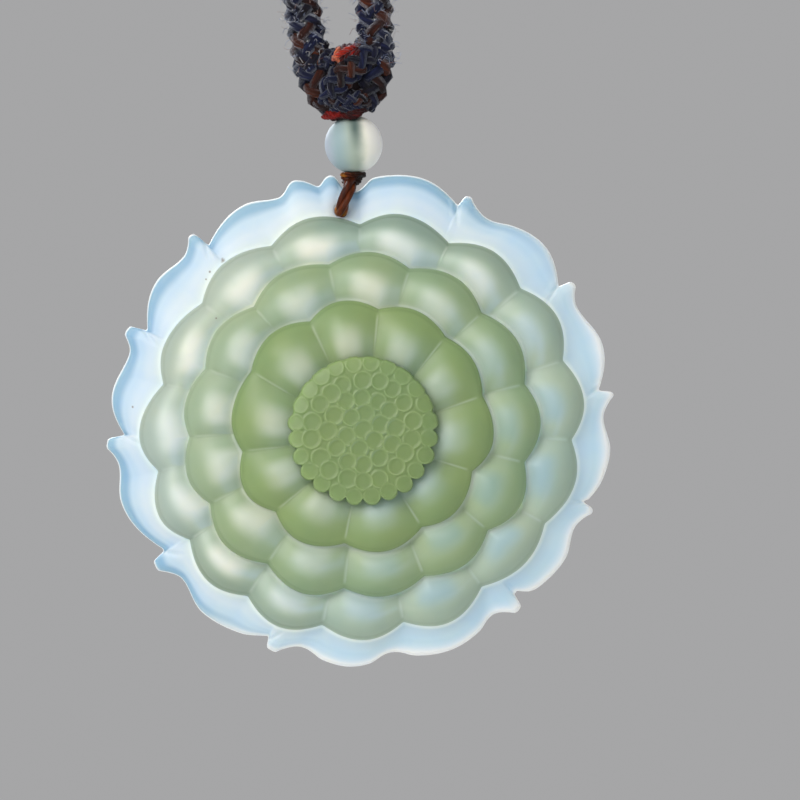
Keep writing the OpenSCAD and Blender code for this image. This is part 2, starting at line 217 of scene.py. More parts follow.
def square_ways(path, guide):
    """Two directions square to a path and to each other, the first nearest the guide."""
    ahead = unit(np.gradient(path, axis=0))
    across = unit(guide - ahead * np.sum(guide * ahead, axis=1, keepdims=True))
    return across, np.cross(ahead, across)


def turned(across, aside, angle):
    """Directions at an angle from the first of two square ones."""
    return across * np.cos(angle)[:, None] + aside * np.sin(angle)[:, None]


def level_ways(angle):
    return np.column_stack([np.cos(angle), np.sin(angle), 0 * angle])


def tube(path, radii, guide, sides, shade=0.0):
    """A closed tube along a path. Its sides are counted from the guide's direction."""
    path = np.asarray(path, float)
    radii = np.broadcast_to(np.asarray(radii, float), (len(path),))
    across, aside = square_ways(path, np.broadcast_to(np.asarray(guide, float), path.shape))
    turn = np.arange(sides) * 2 * math.pi / sides
    ring = (
        across[:, None, :] * np.cos(turn)[None, :, None]
        + aside[:, None, :] * np.sin(turn)[None, :, None]
    )
    points = (path[:, None, :] + ring * radii[:, None, None]).reshape(-1, 3)
    count = len(path)
    points = np.concatenate([points, path[:1], path[-1:]])
    near = np.arange(count - 1)[:, None] * sides + np.arange(sides)[None, :]
    beside = np.arange(count - 1)[:, None] * sides + (np.arange(sides)[None, :] + 1) % sides
    faces = np.stack([near, beside, beside + sides, near + sides], axis=-1).reshape(-1, 4).tolist()
    first, last = count * sides, count * sides + 1
    top = (count - 1) * sides
    for k in range(sides):
        nxt = (k + 1) % sides
        faces.append([first, nxt, k])
        faces.append([last, top + k, top + nxt])
    run = distances_along(path)
    shades = np.broadcast_to(np.asarray(shade, float), (count,))
    values = {
        "along": np.concatenate([np.repeat(run, sides), run[:1], run[-1:]]),
        "around": np.concatenate([np.tile(turn, count), [0, 0]]),
        "shade": np.concatenate([np.repeat(shades, sides), shades[:1], shades[-1:]]),
    }
    return points, faces, values


# Outlines of the carving


def eased(t, from_smooth, to_smooth):
    """Share of the way between turning points, flat where the outline is smooth."""
    both = (1 - np.cos(np.pi * t)) / 2
    into = np.sin(np.pi / 2 * t)
    out = 1 - np.cos(np.pi / 2 * t)
    mixed = np.where(to_smooth == 1, into, out)
    return np.where(from_smooth != to_smooth, mixed, np.where(to_smooth == 1, both, t))


def column_at(rows, angles, column):
    """A column of a table of turning points at any angles."""
    rows = np.asarray(rows, float)
    first = rows[0, 0]
    turned = (angles - first) % 360 + first
    i = np.clip(np.searchsorted(rows[:, 0], turned + 1e-6, side="right") - 1, 0, len(rows) - 1)
    closed = np.vstack([rows, rows[0] + [360, 0, 0]])
    p, q = closed[i], closed[i + 1]
    t = np.clip((turned - p[:, 0]) / (q[:, 0] - p[:, 0]), 0, 1)
    return p[:, column] + (q[:, column] - p[:, column]) * eased(t, p[:, 2], q[:, 2])


def petal_points(petals):
    return [point for p in petals for point in ([p[0], p[1], 0], [p[2], p[3], 1])]


def spread_spokes():
    """Angles of the spokes that the relief is built on, closer together at the thorns."""
    fine = np.arange(0, 360, 0.05)
    density = np.full(len(fine), 1 / 0.5)
    for tip, notch, side in THORNS:
        away = np.abs((fine - (tip + notch) / 2 + 180) % 360 - 180)
        density += (1 / 0.14 - 1 / 0.5) * np.clip((2.7 - away) / 0.7, 0, 1)
    total = np.concatenate([[0], np.cumsum(density * 0.05)])
    count = int(round(total[-1]))
    return np.interp(np.arange(count) * total[-1] / count, total, np.append(fine, 360))


spoke_angles = spread_spokes()
SPOKES = len(spoke_angles)


def snapped(rows):
    """The spokes' angles, with the nearest spoke moved onto each turning point."""
    angles = spoke_angles.copy()
    for row in rows:
        away = (row[0] - spoke_angles + 180) % 360 - 180
        k = int(np.argmin(np.abs(away)))
        angles[k] = spoke_angles[k] + away[k]
    return angles


def polar(angles, reach):
    angles = np.radians(angles)
    return np.stack([reach * np.cos(angles), reach * np.sin(angles)], axis=-1)


def blurred(ring, width):
    """A closed ring of points or numbers, softened over a few neighbours."""
    steps = np.arange(-3 * math.ceil(width), 3 * math.ceil(width) + 1)
    weights = np.exp(-0.5 * (steps / width) ** 2)
    weights /= weights.sum()
    return sum(w * np.roll(ring, int(s), axis=0) for s, w in zip(steps, weights))


def outline(rows, radius, soften):
    angles = snapped(rows)
    return blurred(polar(angles, radius * column_at(rows, angles, 1)), soften)


def fullness(rows):
    return column_at(rows, snapped(rows), 2)


def seam_distance(rows, radius):
    """How far each spoke lies from the nearest seam between two petals, at a radius."""
    angles = snapped(rows)
    seams = np.array([row[0] for row in rows if row[2] == 0])
    away = np.abs((angles[:, None] - seams[None, :] + 180) % 360 - 180)
    return np.radians(away.min(axis=1)) * radius


def thorned_rim():
    """The rim's turning points, with each thorn drawn as a rounded finger."""
    rows = []
    tips = {row[0]: row for row in THORNS}
    notches = {row[1] for row in THORNS}
    reach = {row[0]: row[1] for row in RIM}
    for row in RIM:
        if row[0] in tips:
            tip, notch, side = tips[row[0]]
            way = 1 if tip > notch else -1
            low, high = reach[notch], row[1]
            rows.append([notch + way * (side - 0.16), low - 0.004, 0])
            rows += [[notch + way * (side + on), low + share * (high - low), 0] for on, share in THORN_SIDE]
            rows += [[tip + way * on, high - drop, 0] for on, drop in THORN_BACK]
        elif row[0] in notches:
            rows.append([row[0], row[1] - 0.006, 0])
        else:
            rows.append(row)
    return sorted(rows)


def ease(value, low, high):
    t = np.clip((value - low) / (high - low), 0, 1)
    return t * t * (3 - 2 * t)


def shrunk(shape, by):
    return shape * (1 - by / np.linalg.norm(shape, axis=1, keepdims=True))


def swell(s):
    """How high a petal bulges at a share of the way in from its edge."""
    crown, foot = 0.56, 0.5
    rising = np.clip(1 - np.clip((crown - s) / crown, 0, 1) ** 2, 0, 1) ** 0.85
    falling = 1 - (1 - foot) * np.clip((s - crown) / (1 - crown), 0, 1) ** 2
    return np.where(s < crown, rising, falling)


# Relief of the medallion: rings of points, each with its heights and its named numbers


def crease_depth(shape):
    """How far the creases at the rim's notches cut in, and lift one side, for each point of the rim."""
    lift = np.zeros(len(shape))
    for notch, end in CREASES:
        outer_end = polar(np.array([notch]), RIM_R * 0.945)[0]
        inner_end = polar(np.array([end]), RIM_R * 0.862)[0]
        run = inner_end - outer_end
        length = np.linalg.norm(run)
        run /= length
        rel = shape - outer_end
        s = rel @ run / length
        side = rel @ np.array([-run[1], run[0]]) * (1 if end > notch else -1)
        fade = np.clip(1 - s, 0, 1.3) ** 0.8 * (s > -0.6) * (s < 1)
        lift -= 0.32 * fade * np.exp(-((side / 0.17) ** 2))
        lift += 0.16 * fade * np.exp(-(((side - 0.42) / 0.34) ** 2))
    return lift


def relief_rings():
    """Rings of the medallion from the middle of its back over the edge to the pod's foot."""
    rim_line = outline(thorned_rim(), RIM_R, 1.2)
    rows = [petal_points(OUTER), petal_points(MIDDLE), petal_points(INNER)]
    radii = [OUTER_R, MIDDLE_R, INNER_R]
    lines = [outline(r, radius, 0.7) for r, radius in zip(rows, radii)]
    pod_foot = POD_SHIFT + polar(spoke_angles, np.full(SPOKES, (POD_R - SEED_PITCH / 2) * 0.97))
    edge_heights = [OUTER_EDGE_H, MIDDLE_EDGE_H, INNER_EDGE_H]
    top_heights = [OUTER_T, MIDDLE_T, INNER_T]
    feet = lines[1:] + [pod_foot]
    rings = []

    def ring(shape, heights, **numbers):
        spread = {key: np.zeros(SPOKES) for key in NUMBERS}
        for key, value in numbers.items():
            spread[key] = np.broadcast_to(np.asarray(value, float), (SPOKES,))
        rings.append((shape, np.broadcast_to(np.asarray(heights, float), (SPOKES,)), spread))

    # The back is flat, and takes the colours of the rows in front of it
    for share, tier in ((0.3, 3.0), (0.62, 2.0), (0.9, 0.3)):
        ring(shrunk(rim_line, BACK_BEVEL) * share, 0, tier=tier, inward=0.6, full=0.8)
    # The rim's rounded edge, from its back to its front
    for turn in np.linspace(0, 1, 7):
        inset = BACK_BEVEL * (1 - math.sin(turn * math.pi / 2))
        ring(shrunk(rim_line, inset), EDGE_T * 0.55 * (1 - math.cos(turn * math.pi / 2)), line=1)
    table = np.array(RIM_FRONT)
    for share in np.concatenate([[0.015, 0.05, 0.09], np.linspace(0.13, 1, 15)]):
        shape = rim_line + (lines[0] - rim_line) * share
        rise = np.interp(share, table[:, 0], table[:, 1])
        rounding = 1 - (1 - min(share / 0.12, 1)) ** 2
        height = EDGE_T * (0.55 + 0.45 * rounding) + (RIM_T - EDGE_T) * rise
        dish = -0.12 * math.sin(math.pi * min(share, 1)) ** 2
        gap = np.linalg.norm(lines[0] - shape, axis=1)
        cut = crease_depth(shape)
        # The glow, line and crease numbers mark where the rim is painted with a glow, a whiter edge and
        # paler creases
        ring(
            shape, height + dish + cut * min(share / 0.05, 1), inward=share,
            line=max(0, 1 - share / 0.035), glow=np.exp(-((gap / 0.22) ** 2)),
            crease=np.clip(-cut / 0.3, 0, 1),
        )
    for tier in range(3):
        edge, foot, full = lines[tier], feet[tier], fullness(rows[tier])
        edge_h, top_h = edge_heights[tier], top_heights[tier]
        seam = np.exp(-((seam_distance(rows[tier], radii[tier]) / 0.13) ** 2))
        below = rings[-1][1]
        # The lip stands up from the surface below, leans in and rounds over
        for share, lean in ((0.3, 0.1), (0.65, 0.3), (0.9, 0.7)):
            heights = below + (edge_h - below) * share
            ring(shrunk(edge, LIP_LEAN * lean), heights, tier=tier + 1, full=full, wall=1)
        lip = shrunk(edge, LIP_LEAN * 1.4)
        for share in np.concatenate([[0.0, 0.03, 0.07], np.linspace(0.13, 1, 12)]):
            shape = lip + (foot - lip) * share
            bulge = swell(share) * (0.3 + 0.7 * full**1.1)
            ridge = seam * ease(share, 0.0, 0.12) * (1 - ease(share, 0.5, 0.95))
            gap = np.linalg.norm(foot - shape, axis=1)
            ring(
                shape, edge_h + (top_h - edge_h) * bulge + 0.08 * ridge,
                tier=tier + 1, inward=share, full=full, seam=ridge,
                glow=np.exp(-((gap / GLOW_WIDTH[tier]) ** 2)) * GLOW_STRENGTH[tier],
                wall=max(0, 1 - share / 0.04),
            )
    return rings


def pod_seeds(rng):
    """Middle and radius of each seed, and how strongly it is ringed; lower seeds lie over upper ones."""
    seeds = []
    for ring in range(SEED_RINGS + 1):
        for i in range(max(1, 6 * ring)):
            angle = math.radians(360 * i / max(1, 6 * ring) + 17 * ring)
            jitter = 0.2 if ring < SEED_RINGS else 0.08
            x = SEED_PITCH * ring * math.cos(angle) + rng.uniform(-jitter, jitter)
            y = SEED_PITCH * ring * math.sin(angle) + rng.uniform(-jitter, jitter)
            outermost = ring == SEED_RINGS
            radius = rng.uniform(0.84, 0.94) if outermost else rng.uniform(0.93, 1.06)
            seeds.append((x, y, radius, 0.5 if outermost else 1.0))
    return sorted(seeds, key=lambda seed: seed[1] + rng.uniform(-0.9, 0.9))


def pod_surface(x, y, seeds):
    """Height of the pod's top over its crown, and how strongly a seed's raised outline shows."""
    away = np.hypot(x, y) / POD_R
    dome = -0.16 * away**2 - 0.5 * np.clip(away, 0, 1) ** 12
    height = dome - 0.2
    line = np.zeros_like(x)
    free = np.ones(x.shape, bool)
    for cx, cy, radius, ringed in seeds:
        d = np.hypot(x - cx, y - cy)
        inside = free & (d < radius)
        rim = np.exp(-(((d - radius * 0.9) / 0.075) ** 2)) * ringed
        dish = 0.05 * rim - 0.08 * ringed * np.clip(1 - (d / (radius * 0.82)) ** 6, 0, 1)
        dish = dish - 0.05 * (y - cy) / radius
        edge = np.clip((radius - d) / 0.07, 0, 1)
        height = np.where(inside, dome - 0.12 + dish * edge - 0.06 * (1 - edge), height)
        line = np.where(inside, rim, line)
        free &= ~inside
    return height, line


def pod_edge(angles, seeds):
    """The pod's scalloped outline, as a reach for each angle: even on top, lobed below."""
    below = ease(-np.sin(np.radians(angles)), -0.5, 0.5)
    reach = POD_R - SEED_PITCH * 0.12 - 0.5 * below
    way = polar(angles, np.ones(len(angles)))
    for cx, cy, radius, _ in seeds:
        ahead = way @ np.array([cx, cy])
        inside = radius**2 - (cx**2 + cy**2 - ahead**2)
        exits = ahead + np.sqrt(np.clip(inside, 0, None))
        reach = np.where((inside > 0) & (exits > reach), exits, reach)
    return blurred(np.minimum(reach, POD_R - SEED_PITCH * 0.06 + 0.4 * below), 1.0)


def zipped(first_a, angles_a, first_b, angles_b):
    """Triangles between an outer ring and an inner ring that may have fewer points."""
    faces = []
    count_a, count_b = len(angles_a), len(angles_b)
    i = j = 0
    while i < count_a or j < count_b:
        next_a = angles_a[i + 1] if i + 1 < count_a else 360 + angles_a[0]
        next_b = angles_b[j + 1] if j + 1 < count_b else 360 + angles_b[0]
        a, b = first_a + i % count_a, first_b + j % count_b
        if i < count_a and (j >= count_b or next_a <= next_b):
            faces.append([a, first_a + (i + 1) % count_a, b])
            i += 1
        else:
            faces.append([a, first_b + (j + 1) % count_b, b])
            j += 1
    return faces


POD_CELL = 0.097
NUMBERS = ("tier", "inward", "full", "line", "glow", "seam", "wall", "crease")
POD_CORNER_SHARES = ((1.0, 0.35), (0.994, 0.7), (0.985, 0.92))


def carved_medallion():
    """The whole carving as one closed mesh."""
    rng = random.Random(SEED)
    seeds = pod_seeds(rng)
    points, values = [], {key: [] for key in NUMBERS}
    faces, ring_starts, ring_angles = [], [], []
    start = 0

    def add_ring(shape, heights, numbers, angles):
        nonlocal start
        points.append(np.column_stack([shape, heights]))
        for key in values:
            values[key].append(np.broadcast_to(np.asarray(numbers.get(key, 0), float), (len(shape),)))
        ring_starts.append(start)
        ring_angles.append(angles)
        start += len(shape)

    for shape, heights, numbers in relief_rings():
        add_ring(shape, heights, numbers, spoke_angles)
    foot_heights = points[-1][:, 2]
    reach = pod_edge(spoke_angles, seeds)
    crown = polar(spoke_angles, reach)
    top, line = pod_surface(crown[:, 0] * 0.97, crown[:, 1] * 0.97, seeds)
    wall = {"tier": 4, "wall": 0.7}
    for scale, share in POD_CORNER_SHARES:
        heights = foot_heights + (POD_T + top - foot_heights) * share
        add_ring(POD_SHIFT + crown * scale, heights, wall, spoke_angles)
    reach_top = reach * 0.972
    mean = reach_top.mean()
    radius = mean
    while radius > POD_CELL * 0.8:
        count = min(SPOKES, max(6, int(round(2 * math.pi * radius / POD_CELL))))
        angles = np.arange(count) * 360 / count
        local = np.interp(angles, np.append(spoke_angles, 360), np.append(reach_top, reach_top[0]))
        blend = np.clip((radius / mean - 0.8) / 0.2, 0, 1) ** 2
        spread = radius * (1 + (local / mean - 1) * blend)
        shape = polar(angles, spread)
        top, line = pod_surface(shape[:, 0], shape[:, 1], seeds)
        numbers = {"tier": 4, "inward": 1 - radius / mean, "full": 1, "line": line}
        add_ring(POD_SHIFT + shape, POD_T + top, numbers, angles)
        radius -= POD_CELL
    for r in range(len(ring_starts) - 1):
        a, b = ring_starts[r], ring_starts[r + 1]
        if len(ring_angles[r]) == len(ring_angles[r + 1]) == SPOKES:
            k = np.arange(SPOKES)
            nxt = (k + 1) % SPOKES
            faces.extend(np.stack([a + k, a + nxt, b + nxt, b + k], axis=-1).tolist())
        else:
            faces.extend(zipped(a, ring_angles[r], b, ring_angles[r + 1]))
    top, line = pod_surface(np.zeros(1), np.zeros(1), seeds)
    middle = np.array([[POD_SHIFT[0], POD_SHIFT[1], POD_T + top[0]], [0, 0, 0]])
    front_tip, back_tip = start, start + 1
    points.append(middle)
    for key in NUMBERS:
        pair = {"tier": (4, 3.4), "inward": (1, 0.6), "full": (1, 0.8)}.get(key, (0, 0))
        values[key].append(np.array(pair, float))
    last, last_count = ring_starts[-1], len(ring_angles[-1])
    faces.extend([last + k, last + (k + 1) % last_count, front_tip] for k in range(last_count))
    faces.extend([(k + 1) % SPOKES, k, back_tip] for k in range(SPOKES))
    flat = np.concatenate(points)
    turn = math.radians(-CARVING_TURN)
    x = flat[:, 0] * math.cos(turn) - flat[:, 1] * math.sin(turn)
    y = flat[:, 0] * math.sin(turn) + flat[:, 1] * math.cos(turn)
    placed = np.column_stack([disc_centre.x + x, disc_centre.y - flat[:, 2], disc_centre.z + y])
    values = {key: np.concatenate(v) for key, v in values.items()}
    disc = make_object("carved_medallion", placed, faces, values)
    bore(disc)
    return disc


def bore(disc):
    """Cuts the thread hole through the rim."""
    path = [(hole.x, disc_back + 2, hole.z), (hole.x, disc_back - 6, hole.z)]
    points, faces, _ = tube(path, BORE_R, (1, 0, 0), BORE_SIDES)
    drill = make_object("drill", points, faces)
    cut = disc.modifiers.new("hole", "BOOLEAN")
    cut.operation = "DIFFERENCE"
    cut.solver = "EXACT"
    cut.object = drill
    bpy.context.view_layer.update()
    evaluated = disc.evaluated_get(bpy.context.evaluated_depsgraph_get())
    cut_mesh = bpy.data.meshes.new_from_object(evaluated)
    disc.modifiers.clear()
    disc.data = cut_mesh
    # The cut's new points take the rim's own number for how far in they lie
    place = np.zeros(len(cut_mesh.vertices) * 3)
    cut_mesh.vertices.foreach_get("co", place)
    place = place.reshape(-1, 3) / MM
    away = np.hypot(place[:, 0] - hole.x, place[:, 2] - hole.z)
    inward = np.zeros(len(place))
    layer = cut_mesh.attributes["inward"].data
    layer.foreach_get("value", inward)
    inward[away < BORE_R * 1.02] = 0.75
    layer.foreach_set("value", inward)
    bpy.data.objects.remove(drill)


# Bead, threads and cord


def drilled_bead():
    """The bead as a turned profile: the ball, a small chamfer at each end and the bore."""
    bore_half = math.asin(BORE_R / bead_r)
    sides, steps = 96, 60
    profile = []
    for i in range(steps + 1):
        a = bore_half * 1.08 + (math.pi - 2 * bore_half * 1.08) * i / steps
        profile.append((bead_r * math.sin(a), bead_r * math.cos(a)))
    end = bead_r * math.cos(bore_half)
    profile += [(BORE_R, z) for z in (-end + 0.1, -end * 0.5, 0, end * 0.5, end - 0.1)]
    turn = np.arange(sides) * 2 * math.pi / sides
    points = [
        (bead_centre.x + r * math.cos(t), bead_centre.y + r * math.sin(t), bead_centre.z + z)
        for r, z in profile for t in turn
    ]
    faces = []
    for i in range(len(profile)):
        a, b = i * sides, ((i + 1) % len(profile)) * sides
        for k in range(sides):
            nxt = (k + 1) % sides
            faces.append([a + k, b + k, b + nxt, a + nxt])
    return make_object("drilled_bead", np.array(points), faces)


CORD_PITCH = 7.3
# A braid's strands, with their reach, the wave in it and their own radius as shares of the braid's radius
STRANDS = 8
STRAND_REACH = 0.63
STRAND_WAVE = 0.11
STRAND_R = 0.29
STRAND_SHADES = (0.1, 0.35, 0.8, 0.15, 0.4, 0.95, 0.25, 0.6)


def braid(path, normals, radius, pitch, per_turn, sides, first_turn=0.0):
    """Eight strands that cross over and under one another round a path."""
    path, normals = np.asarray(path, float), np.asarray(normals, float)
    radius = np.broadcast_to(np.asarray(radius, float), (len(path),))
    run = distances_along(path)
    stations = [0.0]
    while stations[-1] < run[-1]:
        stations.append(stations[-1] + pitch / per_turn(stations[-1], run[-1]))
    stations = np.array(stations[:-1] + [run[-1]])
    centre = sampled(path, run, stations)
    side, up = square_ways(centre, unit(sampled(normals, run, stations)))
    scale = np.interp(stations, run, radius)
    parts = []
    for strand in range(STRANDS):
        way = 1 if strand % 2 == 0 else -1
        angle = way * 2 * np.pi * stations / pitch + 2 * np.pi * (strand // 2) / 4 + first_turn
        wave = way * np.cos(np.pi * STRANDS * stations / pitch)
        reach = scale * (STRAND_REACH + STRAND_WAVE * wave)
        outward = turned(side, up, angle)
        line = centre + outward * reach[:, None]
        parts.append(tube(line, scale * STRAND_R, outward, sides, STRAND_SHADES[strand]))
    return join_parts(parts)


def loop_path():
    """Middle line of the neck loop with the directions that point out of it, as in the part's source."""
    lean = math.radians(CORD_LEAN)
    arc_z = CORD_R - ARC_R
    foot_x = ARC_R * math.cos(lean) - LEG_LENGTH * math.sin(lean)
    foot_z = arc_z - ARC_R * math.sin(lean) - LEG_LENGTH * math.cos(lean)
    top_x = ARC_R * math.cos(lean)
    top_z = arc_z - ARC_R * math.sin(lean)
    path, out = [], []
    for t in np.linspace(0, 1, 60, endpoint=False):
        path.append((foot_x + (top_x - foot_x) * t, 0, foot_z + (top_z - foot_z) * t))
        out.append((math.cos(lean), 0, -math.sin(lean)))
    for a in np.linspace(-lean, math.pi + lean, 80):
        path.append((ARC_R * math.cos(a), 0, arc_z + ARC_R * math.sin(a)))
        out.append((math.cos(a), 0, math.sin(a)))
    for t in np.linspace(1, 0, 61)[1:]:
        path.append((-foot_x - (top_x - foot_x) * t, 0, foot_z + (top_z - foot_z) * t))
        out.append((-math.cos(lean), 0, -math.sin(lean)))
    return np.array(path), np.array(out)


def fineness(at, length):
    """Points for each turn of a strand: fine near the knot, coarser round the neck."""
    return 30 if min(at, length - at) < 42 else 16


def neck_braid():
    path, out = loop_path()
    return make_object("neck_braid", *braid(path, out, CORD_R * 0.92, CORD_PITCH, fineness, 6))


def smooth_path(marks, count):
    """A smooth curve through a few marks, each a place, or a place and a radius."""
    marks = np.asarray(marks, float)
    t = np.linspace(0, len(marks) - 1, count)
    padded = np.vstack([2 * marks[0] - marks[1], marks, 2 * marks[-1] - marks[-2]])
    i = np.minimum(t.astype(int), len(marks) - 2)
    u = (t - i)[:, None]
    a, b, c, d = padded[i], padded[i + 1], padded[i + 2], padded[i + 3]
    return 0.5 * (2 * b + (c - a) * u + (2 * a - 5 * b + 4 * c - d) * u**2 + (3 * b - a - 3 * c + d) * u**3)


def worked_knot():
    """The two sides of the cord drawn together over a core, with a pass across the front and one behind."""
    top, foot = knot_high.z, knot_low.z
    height = top - foot
    parts = []
    for side in (-1, 1):
        marks = [
            (side * 3.18, 0, top + 0.3, 1.93), (side * 3.1, -0.05, top - 0.25 * height, 2.0),
            (side * 2.7, -0.05, top - 0.52 * height, 1.95), (side * 2.1, 0, top - 0.78 * height, 1.7),
            (side * 1.5, 0, foot + 0.35, 1.2),
        ]
        parts.append(knot_pass(marks, (side, 0, 0), CORD_PITCH * 0.94, 0.0))
    for face in (-1, 1):
        marks = [
            (face * -2.9, face * 0.7, top - 0.8, 1.2), (face * -1.9, face * 1.75, top - 1.5, 1.45),
            (face * -0.2, face * 1.95, top - 2.7, 1.5), (face * 1.4, face * 1.6, top - 4.1, 1.4),
            (face * 1.9, face * 0.6, top - 5.2, 1.1),
        ]
        parts.append(knot_pass(marks, (0, face, 0), CORD_PITCH * 0.72, 0.6))
        marks = [
            (face * 2.3, face * 1.0, top - 1.5, 1.0), (face * 1.2, face * 1.3, top - 1.2, 1.1),
            (face * -0.2, face * 1.35, top - 1.1, 1.1), (face * -1.4, face * 1.1, top - 1.4, 1.0),
        ]
        parts.append(knot_pass(marks, (0, face, 0), CORD_PITCH * 0.6, 0.2))
    wrap, out = knot_wrap(60, 1.15, 0.4, 2.05, 1.5, foot + 1.05, 0.25)
    parts.append(braid(wrap, out, 0.95, CORD_PITCH * 0.5, lambda at, length: 26, 7))
    wrap, out = knot_wrap(40, 1.2, 3.6, 1.75, 1.45, foot + 0.38, 0.12)
    parts.append(twisted(wrap, 0.6, 3, 2.6, 8, 0.3, out, steps=16))
    core = smooth_path([(0, 0, top - 0.3), (0, 0, top - 3), (0, 0, foot + 0.1)], 20)
    girth = np.interp(np.linspace(0, 1, 20), [0, 0.15, 0.6, 1], [0.9, 1.7, 1.8, 1.5])
    parts.append(tube(core, girth, (1, 0, 0), 24, 0.55))
    return make_joined("worked_knot", parts)


def knot_wrap(count, turns, start, half_width, half_depth, height, sway):
    """A nearly level wrap round the knot's foot, and the directions that point out of it."""
    angle = np.linspace(0, 1, count) * 2 * math.pi * turns + start
    rise = height + sway * np.sin(angle * 0.5)
    wrap = np.column_stack([half_width * np.cos(angle), half_depth * np.sin(angle), rise])
    return wrap, level_ways(angle)


def knot_pass(marks, normal, pitch, first_turn):
    """A stretch of braid through marks that give its places and its radius."""
    path = smooth_path(marks, 60)
    normals = np.broadcast_to(np.asarray(normal, float), (len(path), 3))
    return braid(path[:, :3], normals, path[:, 3], pitch, lambda at, length: 28, 7, first_turn)


def twisted(path, radius, plies, pitch, sides, shade=0.0, guide=(0, 0, 1), steps=14):
    """A thread of several plies that twist round one another along a path."""
    path = np.asarray(path, float)
    run = distances_along(path)
    count = max(8, int(run[-1] / pitch * steps))
    stations = np.linspace(0, run[-1], count)
    centre = sampled(path, run, stations)
    guide = np.broadcast_to(np.asarray(guide, float), path.shape)
    side, up = square_ways(centre, sampled(guide, run, stations))
    shade = np.interp(stations, run, np.broadcast_to(np.asarray(shade, float), (len(path),)))
    ply_r = radius / (1 + 1 / math.sin(math.pi / plies)) * 1.12
    parts = []
    for ply in range(plies):
        outward = turned(side, up, 2 * np.pi * (stations / pitch + ply / plies))
        ply_shade = shade + 0.06 * (ply - (plies - 1) / 2)
        parts.append(tube(centre + outward * (radius - ply_r), ply_r, outward, sides, ply_shade))
    return join_parts(parts)


def hanging_threads():
    """Waxed thread: through the hole, up both faces of the rim, wound together, and up through the bead."""
    strand_y = RIM_T / 2 + 0.3 + THREAD_R
    winding = Vector((0, 0, hole.z + RIM_R - 1.1 - HOLE_REACH))
    parts = []
    for side in (-1, 1):
        marks = [
            (hole.x, side * 0.2, hole.z - 0.02), (hole.x + 0.02, side * (strand_y - 0.35), hole.z - 0.02),
            (hole.x + 0.26, side * strand_y, hole.z + 0.45),
            (hole.x + 0.64, side * strand_y * 0.97, hole.z + 1.35),
            (hole.x + 1.02, side * 1.4, hole.z + 2.15), (winding.x - 0.47, side * 0.66, winding.z - 0.1),
            (winding.x - 0.2, side * 0.3, winding.z + 0.5),
        ]
        path = smooth_path(marks, 60)
        shade = np.linspace(0.6, 0.36, 60)
        parts.append(twisted(path, THREAD_R * 1.13, 3, 9.0, 10, shade, (0, 1, 0), steps=60))
    # The winding: a cone of turns that ends in a collar round the bead's foot, its upper turns painted amber
    # on the left
    t = np.linspace(0, 1, 380)
    reach = 0.66 + 0.46 * t**1.2 + 0.03 * np.sin(t * 23)
    angle = t * 4.2 * 2 * math.pi + 0.6
    coil_x = -0.38 + 0.24 * t + reach * np.cos(angle)
    coil_y = reach * np.sin(angle)
    beside = np.hypot(coil_x - bead_centre.x, coil_y)
    under_bead = bead_centre.z - np.sqrt((bead_r + 0.3) ** 2 - beside**2)
    height = np.minimum(winding.z - 0.33 + 1.22 * t + 0.06 * np.sin(angle), under_bead)
    coil = np.column_stack([coil_x, coil_y, height])
    # Painted highlight: the upper turns amber on the left, dark on the right
    painted_glint = 0.15 + 0.55 * np.clip(0.45 - 0.75 * np.cos(angle), 0, 1) * t
    parts.append(twisted(coil, 0.3, 2, 2.4, 8, painted_glint, level_ways(angle), steps=12))
    plug = [
        (-0.38, 0, winding.z - 0.4), (-0.3, 0, winding.z), (-0.22, 0, winding.z + 0.45),
        (-0.16, 0, winding.z + 0.66),
    ]
    parts.append(tube(smooth_path(plug, 16), np.linspace(0.55, 1.0, 16), (1, 0, 0), 20, 0.1))
    core = [
        (-0.2, 0, winding.z), (0.05, 0, winding.z + 1.6), (bead_centre.x, 0, winding.z + 2.4),
        (bead_centre.x, 0, bead_centre.z), (bead_centre.x, 0, knot_low.z + 1.4),
    ]
    parts.append(twisted(smooth_path(core, 60), THREAD_R * 0.95, 3, 3.4, 8, 0.5, (0, 1, 0)))
    return make_joined("waxed_threads", parts)


def binding_threads():
    """Red thread bound between bead and knot: dark turns, a drooping arc and a bright end."""
    centre = (binding_low + binding_high) / 2
    reach = (binding_high.x - binding_low.x) / 2 - 0.34
    t = np.linspace(0, 1, 260)
    angle = t * 2.4 * 2 * math.pi + 2.2
    spread = reach * (0.86 + 0.14 * np.sin(t * 5))
    coil = np.column_stack([
        centre.x + spread * np.cos(angle), spread * np.sin(angle),
        binding_low.z + 0.36 + 0.45 * t + 0.5 * np.clip(np.cos(angle), 0, 1),
    ])
    parts = [twisted(coil, 0.33, 3, 1.5, 6, 0.1, level_ways(angle), steps=8)]
    z = binding_high.z
    droop = [
        (-2.25, -0.8, z + 0.1), (-1.5, -1.5, z - 0.06), (-0.6, -1.85, z - 0.34),
        (0.3, -1.95, z - 0.56), (0.95, -1.8, z - 0.4), (1.5, -1.3, z + 0.1),
    ]
    # Painted light: the arc is lighter at its left end and dark to the right
    shades = np.interp(np.linspace(0, 1, 50), [0, 0.3, 0.5, 1], [0.42, 0.38, 0.12, 0.05])
    parts.append(twisted(smooth_path(droop, 50), 0.32, 3, 1.5, 6, shades, (0, -1, 0), steps=9))
    # Painted highlight: a bright thread end on the left
    end = [(-2.55, -0.3, z - 0.2), (-2.1, -1.1, z - 0.3), (-1.4, -1.75, z - 0.32), (-0.8, -1.95, z - 0.1)]
    parts.append(twisted(smooth_path(end, 30), 0.3, 3, 1.5, 6, 0.48, (0, -1, 0), steps=9))
    return make_joined("binding_threads", parts)


